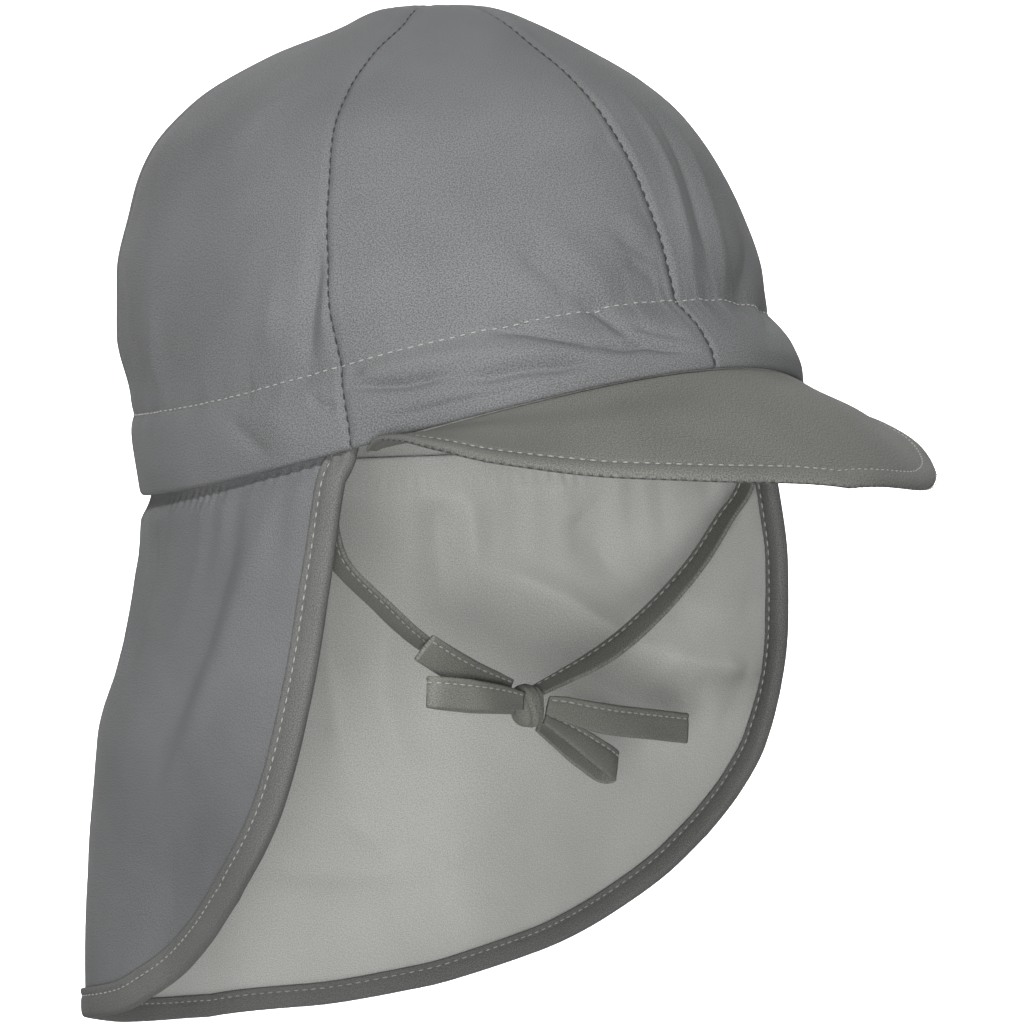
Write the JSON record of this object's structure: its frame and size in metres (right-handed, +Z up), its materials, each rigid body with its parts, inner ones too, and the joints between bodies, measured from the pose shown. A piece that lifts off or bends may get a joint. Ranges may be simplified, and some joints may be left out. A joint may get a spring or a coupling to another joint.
{
  "type": "baby sun cap with neck flap",
  "caption": "Soft cloth baby cap with a panelled crown, a curved brim, a gathered flap that shades the neck, and chin ties in a bow.",
  "frame": {"origin": "centre of the head opening, at the mean height of the crown's hem", "axes": "+Z up towards the crown's top, -Y forwards to the brim, -X towards the wearer's right"},
  "size_m": [0.1611, 0.2316, 0.2591],
  "materials": {
    "crown_cloth": "fine dense cotton weave, grey, faint sheen",
    "brim_cloth": "the same cloth drawn smooth over a stiff inside",
    "flap_cloth": "the same cloth, one layer, soft",
    "binding_tape": "bias tape of the same cloth, folded and stitched",
    "tie_tape": "narrow folded tape of the same cloth, stitched along one edge"
  },
  "bodies": {
    "root": {"crown_front_right": "crown_cloth", "crown_side_right": "crown_cloth", "crown_back": "crown_cloth", "crown_side_left": "crown_cloth", "crown_front_left": "crown_cloth", "brim": "brim_cloth", "neck_flap": "flap_cloth", "flap_binding": "binding_tape", "tie_right": "tie_tape", "tie_left": "tie_tape", "bow_knot": "tie_tape", "bow_loop_right": "tie_tape", "bow_loop_left": "tie_tape", "bow_end_right": "tie_tape", "bow_end_left": "tie_tape"}
  },
  "joints": []
}
